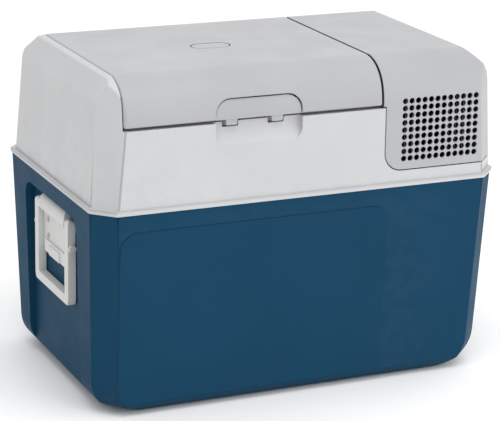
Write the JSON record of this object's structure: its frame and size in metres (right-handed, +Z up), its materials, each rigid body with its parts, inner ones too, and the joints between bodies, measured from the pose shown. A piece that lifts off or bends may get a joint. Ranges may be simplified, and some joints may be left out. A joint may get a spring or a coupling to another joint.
{
  "type": "compressor cooler fridge",
  "caption": "Portable chest cooler with a compressor bay under a grille cover at one end, a latched foam-filled lid and folding carrying handles.",
  "frame": {"origin": "on the floor under the middle of the whole box", "axes": "+X along the length towards the compressor bay, the front faces -Y, +Z up"},
  "size_m": [0.575, 0.365, 0.442],
  "materials": {
    "tub_blue": "semi-gloss moulded navy blue plastic",
    "housing_grey": "satin moulded light grey plastic",
    "cover_grey": "satin moulded mid grey plastic",
    "handle_grey": "satin moulded off-white plastic",
    "liner_white": "smooth white liner plastic",
    "foam": "cellular polyurethane foam",
    "rubber_black": "soft black rubber",
    "steel": "zinc plated steel",
    "compressor_black": "black painted pressed steel",
    "copper": "drawn copper tube",
    "aluminium": "bare aluminium sheet",
    "black_plastic": "fine-textured black plastic",
    "display_lens": "dark glossy display window",
    "board_green": "green circuit board",
    "button_grey": "satin grey plastic",
    "light_lens": "frosted clear plastic"
  },
  "bodies": {
    "root": {"lower_housing": "tub_blue", "upper_housing": "housing_grey", "compressor_cover": "cover_grey", "lid_hinge_left": "cover_grey", "lid_hinge_right": "cover_grey", "bay_partition": "cover_grey", "handle_bracket_left": "handle_grey", "handle_bracket_right": "handle_grey", "cold_liner": "liner_white", "cabinet_foam": "foam", "foot_1": "rubber_black", "foot_2": "rubber_black", "foot_3": "rubber_black", "foot_4": "rubber_black", "compressor_mount_1": "rubber_black", "compressor_mount_2": "rubber_black", "compressor_mount_3": "rubber_black", "compressor_mount_4": "rubber_black", "base_plate": "steel", "condenser_stand": "steel", "power_supply": "steel", "handle_screw_left_1": "steel", "handle_screw_left_2": "steel", "handle_screw_right_1": "steel", "handle_screw_right_2": "steel", "compressor": "compressor_black", "condenser": "compressor_black", "discharge_pipe": "copper", "liquid_pipe": "copper", "suction_pipe": "copper", "filter_drier": "copper", "temperature_sensor": "copper", "evaporator_sleeve": "aluminium", "compressor_controller": "black_plastic", "fan_frame": "black_plastic", "socket_plate": "black_plastic", "dc_socket": "black_plastic", "ac_inlet": "black_plastic", "fuse_cap": "black_plastic", "control_panel": "black_plastic", "display_lens": "display_lens", "control_board": "board_green", "compartment_light": "light_lens"},
    "lid": {"lid_shell": "cover_grey", "lid_badge": "cover_grey", "lid_liner": "liner_white", "lid_foam": "foam", "lid_seal": "rubber_black", "hinge_pin_left": "steel", "hinge_pin_right": "steel", "latch_pin": "steel", "latch_spring": "steel"},
    "latch": {"lid_latch": "cover_grey"},
    "handle_left": {"handle_left": "handle_grey"},
    "handle_right": {"handle_right": "handle_grey"},
    "fan": {"fan_impeller": "black_plastic"},
    "button_power": {"button_power": "button_grey"},
    "button_minus": {"button_minus": "button_grey"},
    "button_plus": {"button_plus": "button_grey"}
  },
  "joints": [
    {"name": "lid_hinge", "type": "hinge", "parent": "root", "child": "lid", "pos_m": [-0.07, 0.162, 0.397], "axis": [-1, 0, 0], "range_deg": [0, 95]},
    {"name": "latch", "type": "hinge", "parent": "lid", "child": "latch", "pos_m": [-0.068, -0.1675, 0.402], "axis": [-1, 0, 0], "range_deg": [0, 18], "stiffness_Nm_per_rad": 0.3},
    {"name": "handle_left", "type": "hinge", "parent": "root", "child": "handle_left", "pos_m": [-0.278, 0, 0.231], "axis": [0, 1, 0], "range_deg": [0, 100]},
    {"name": "handle_right", "type": "hinge", "parent": "root", "child": "handle_right", "pos_m": [0.278, 0, 0.231], "axis": [0, -1, 0], "range_deg": [0, 100]},
    {"name": "fan_spin", "type": "hinge", "parent": "root", "child": "fan", "pos_m": [0.1919, -0.118, 0.3527], "axis": [0, 1, 0], "continuous": true},
    {"name": "button_power", "type": "slide", "parent": "root", "child": "button_power", "axis": [-0.725, 0, -0.6887], "range_m": [0, 0.0012], "stiffness_N_per_m": 500},
    {"name": "button_minus", "type": "slide", "parent": "root", "child": "button_minus", "axis": [-0.725, 0, -0.6887], "range_m": [0, 0.0012], "stiffness_N_per_m": 500},
    {"name": "button_plus", "type": "slide", "parent": "root", "child": "button_plus", "axis": [-0.725, 0, -0.6887], "range_m": [0, 0.0012], "stiffness_N_per_m": 500}
  ]
}
